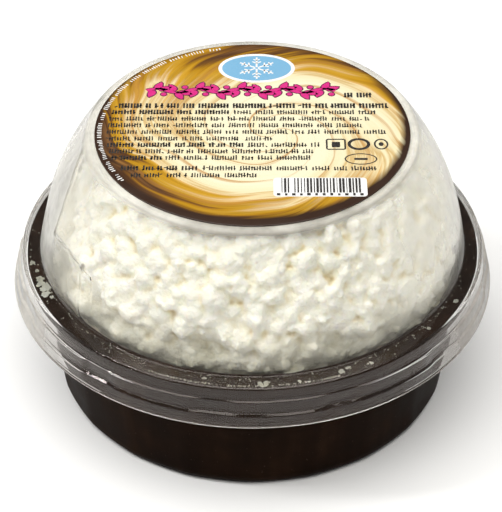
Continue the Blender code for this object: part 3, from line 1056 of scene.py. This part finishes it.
def makeMarkTree():
    # marks of random width and height, standing on the lines of the host, with gaps left out
    tree, entry, leave = newTree("printedMarks", {
        "Pitch": "Float", "Low": "Vector", "High": "Vector", "Gaps": "Float", "Lift": "Float", "Seed": "Int",
    })
    seed, thick = entry["Seed"], ink["thick"] * mm
    lines = feedNode("GeometryNodeMeshToCurve", {"Mesh": entry["Geometry"]})[0]
    inputs = {"Curve": lines, "Length": entry["Pitch"]}
    spaced = feedNode("GeometryNodeResampleCurve", inputs, mode="LENGTH")[0]
    along = tree.nodes.new("GeometryNodeInputTangent").outputs[0]
    turn = feedNode("FunctionNodeAlignRotationToVector", {"Vector": along}, axis="X")[0]
    upward = vectorCalc("CROSS_PRODUCT", (0, 0, 1), along)
    lift = vectorCalc("SCALE", upward, randomNumber(tree, entry["Lift"], seed))
    inputs = {"Probability": calc("SUBTRACT", 1.0, entry["Gaps"]), "Seed": seed}
    keep = feedNode("FunctionNodeRandomValue", inputs, data_type="BOOLEAN")[3]
    size = randomVector(tree, entry["Low"], entry["High"], calc("ADD", seed, 1))
    block = addNode(tree, "GeometryNodeMeshCube", {"Size": (mm, mm, thick)})[0]
    inputs = {"Geometry": block, "Translation": (0, 0.5 * mm, thick / 2)}
    stood = feedNode("GeometryNodeTransform", inputs)[0]
    marks = copiesOn(movedBy(spaced, lift), stood, turn, size, keep)
    return endTree(tree, marks, entry["Material"], leave)


def printLines(name, tree, kind, lines, material, height, seed):
    # lines are lists of (x, y) in mm on the label
    points, edges = [], []
    for line in lines:
        first = len(points)
        points += [(x * mm, y * mm, height * mm) for x, y in line]
        edges += [(k, k + 1) for k in range(first, len(points) - 1)]
    host = bpy.data.meshes.new(name)
    host.from_pydata(points, edges, [])
    pitch, low, high, gaps, lift = markKinds[kind]
    piece = grownPiece(name, host, tree, {
        "Pitch": pitch * mm, "Low": low, "High": high, "Gaps": gaps, "Lift": lift * mm, "Seed": seed,
        "Material": material,
    })
    settle(piece, "label")


def ribbon(path, halves, closed=False):
    # a thin strip along a path, its half widths given for each point; corners and faces in mm
    path, halves = np.array(path, float), np.asarray(halves, float)
    ahead = np.roll(path, -1, 0) - np.roll(path, 1, 0) if closed else np.gradient(path, axis=0)
    across = np.stack([-ahead[:, 1], ahead[:, 0]], 1) / np.hypot(ahead[:, 0], ahead[:, 1])[:, None]
    left, right = path + across * halves[:, None], path - across * halves[:, None]
    count = len(path)
    low, high = np.zeros((count, 1)), np.full((count, 1), ink["thick"])
    rows = [np.hstack(pair) for pair in ((left, low), (right, low), (right, high), (left, high))]
    points = np.stack(rows, 1).reshape(-1, 3)
    faces = []
    for k in range(count if closed else count - 1):
        a, b = 4 * k, 4 * ((k + 1) % count)
        faces += [(a + s, b + s, b + (s + 1) % 4, a + (s + 1) % 4) for s in range(4)]
    if not closed:
        last = 4 * (count - 1)
        faces += [(3, 2, 1, 0), (last, last + 1, last + 2, last + 3)]
    return points, faces


def stroke(start, end, half):
    return ribbon([start, end], [half] * 2)


def ring(outline, half):
    return ribbon(outline, [half] * len(outline), closed=True)


def patch(outline):
    # a thin flat shape of the outline's points
    outline = np.array(outline, float)
    count = len(outline)
    points = np.vstack([np.hstack([outline, np.full((count, 1), z)]) for z in (0.0, ink["thick"])])
    faces = [tuple(range(count - 1, -1, -1)), tuple(range(count, 2 * count))]
    faces += [(k, (k + 1) % count, count + (k + 1) % count, count + k) for k in range(count)]
    return points, faces


def arc(middle, halfWide, halfHigh, turns):
    x, y = middle
    return [(x + halfWide * math.cos(turn), y + halfHigh * math.sin(turn)) for turn in turns]


def oval(middle, halfWide, halfHigh, count=72):
    return arc(middle, halfWide, halfHigh, [tau * k / count for k in range(count)])


def roundedBox(left, right, low, high, corner):
    inner = left + corner, right - corner, low + corner, high - corner
    outline = []
    for quarter, (x, y) in enumerate(((1, 3), (0, 3), (0, 2), (1, 2))):
        turns = (quarter + np.linspace(0, 1, 5)) * math.pi / 2
        outline += arc((inner[x], inner[y]), corner, corner, turns)
    return outline


def printShapes(name, shapes, material, height):
    points, faces = [], []
    for shapePoints, shapeFaces in shapes:
        first = len(points)
        points += [(x, y, z + height) for x, y, z in shapePoints]
        faces += [tuple(first + k for k in face) for face in shapeFaces]
    mesh = closedMesh(name, points, faces)
    mesh.shade_flat()
    settle(newPiece(name, mesh, material), "label")


vine = {
    "left": -19.6, "right": 15.4, "middle": 12.8, "bends": 9, "sway": 0.7, "leaf": 2.7, "leafWide": 1.35,
    "edge": 0.22, "stem": 0.34, "swell": 0.12,
}
# the leaves at a bend: along and above its middle, angle, share of the full length
vineLeaves = [(-0.3, 0.4, 1.15, 1.0), (0.2, 0.3, 0.35, 1.0), (-0.6, 0.1, -2.0, 0.9)]


def leafShape(root, angle, length, extra):
    # a leaf with a pointed tip, its edge moved out by extra
    share = np.linspace(0, 1, 9)
    half = (vine["leafWide"] / 2) * np.sin(math.pi * share ** 0.75) ** 0.9 + extra
    along = share * (length + 2 * extra) - extra
    points = [*zip(along, half), *zip(along[::-1][1:-1], -half[::-1][1:-1])]
    cosine, sine = math.cos(angle), math.sin(angle)
    return patch([(root[0] + x * cosine - y * sine, root[1] + x * sine + y * cosine) for x, y in points])


def vineShapes(extra):
    # a waving stem with leaves and a berry at every bend
    left, middle = vine["left"], vine["middle"]
    span = (vine["right"] - left) / vine["bends"]
    x = np.linspace(left, vine["right"], 16 * vine["bends"] + 1)
    stem = np.stack([x, middle + vine["sway"] * np.sin(math.pi * (x - left) / span)], axis=1)
    shapes = [ribbon(stem, vine["stem"] + vine["swell"] * np.cos(tau * (x - left) / span) + extra)]
    for number in range(vine["bends"]):
        side = 1 if number % 2 == 0 else -1
        place = left + (number + 0.5) * span
        for along, above, angle, share in vineLeaves:
            root = (place + along, middle + above * side)
            shapes.append(leafShape(root, side * angle, vine["leaf"] * share, extra))
        shapes.append(patch(oval((place + 1.2, middle - 1.15 * side), 0.5 + extra, 0.5 + extra, 14)))
    return shapes


crystal = {"middle": (0.8, 20.4), "halfWide": 7.2, "halfHigh": 4.9, "rim": 0.7, "arm": 3.6, "half": 0.17}


def makeCrystal(whiteInk, blueInk):
    middle, wide, high, rim = crystal["middle"], crystal["halfWide"], crystal["halfHigh"], crystal["rim"]
    printShapes("ovalBase", [patch(oval(middle, wide, high))], whiteInk, onLabel)
    printShapes("ovalField", [patch(oval(middle, wide - rim, high - rim))], blueInk, onLabel + ink["thick"])
    middle, half = np.array(middle), crystal["half"]
    arms = []
    for number in range(6):
        turn = tau * number / 6 + math.pi / 2
        along = np.array(onCircle(1, turn))
        arms.append(stroke(middle + along * 0.3, middle + along * crystal["arm"], half))
        for reach, length in ((0.45, 1.0), (0.72, 0.7)):
            root = middle + along * crystal["arm"] * reach
            for side in (-1, 1):
                tip = root + np.array(onCircle(length, turn + side * 0.95))
                arms.append(stroke(root, tip, half * 0.8))
    printShapes("snowCrystal", arms, whiteInk, onLabel + 2 * ink["thick"])


# a panel of stripes: its left, right, low and high edge and its corners, and the lines that marks stand on
panel = {
    "box": (3.7, 20.2, -20.3, -14.7, 0.7), "stripes": [(5.2, -19.15), (18.9, -19.15)],
    "stripeMarks": [(4.6, -20.0), (19.2, -20.0)],
}


def makePrint():
    tree, seed, over = makeMarkTree(), ink["seed"], onLabel + ink["thick"]
    darkInk, whiteInk = inkFinish("darkInk", shade(30, 24, 20)), inkFinish("whiteInk", shade(246, 246, 244))
    rows = {kind: [] for kind in markKinds}
    for number, (height, left, right, kind) in enumerate(markRows):
        rows[kind] += [[(start, height), (end, height)] for start, end in asWords(left, right, number)]
    for number, kind in enumerate(("heading", "bold", "plain")):
        printLines(kind + "Rows", tree, kind, rows[kind], darkInk, onLabel, seed + number)
        printLines(kind + "Bars", tree, kind + "Bars", rows[kind], darkInk, onLabel, seed + 20 + number)
    radius = ink["borderRadius"]
    arcs = [arc((0, 0), radius, radius, -np.radians(np.arange(start, end)))
            for start, end in asWords(ink["borderFrom"], ink["borderTo"], seed, 4, 14, 2.0)]
    printLines("borderRow", tree, "border", arcs, whiteInk, onLabel, seed + 9)
    printShapes("stripePanel", [patch(roundedBox(*panel["box"]))], whiteInk, onLabel)
    printLines("stripes", tree, "stripe", [panel["stripes"]], darkInk, over, seed + 4)
    printLines("stripeMarks", tree, "tiny", [panel["stripeMarks"]], darkInk, over, seed + 5)
    printShapes("vineEdges", vineShapes(vine["edge"]), inkFinish("plumInk", shade(96, 14, 66)), onLabel)
    printShapes("vine", vineShapes(0.0), inkFinish("magentaInk", shade(216, 22, 128)), over)
    makeCrystal(whiteInk, inkFinish("paleBlueInk", shade(120, 178, 214)))
    printShapes("plainSigns", [
        ring(roundedBox(13.4, 16.7, -6.0, -2.9, 0.3), 0.16), patch(roundedBox(14.3, 15.8, -5.4, -3.7, 0.2)),
        ring(oval((19.2, -4.4), 1.75, 1.55), 0.30),
        ring(oval((23.2, -4.4), 1.15, 1.5), 0.16), patch(oval((23.2, -4.4), 0.45, 0.6)),
        ring(oval((19.4, -9.0), 2.8, 1.6), 0.12), patch(roundedBox(18.2, 20.6, -9.3, -8.7, 0.1)),
    ], darkInk, onLabel)


makeLabel()
makePrint()
print("label done")
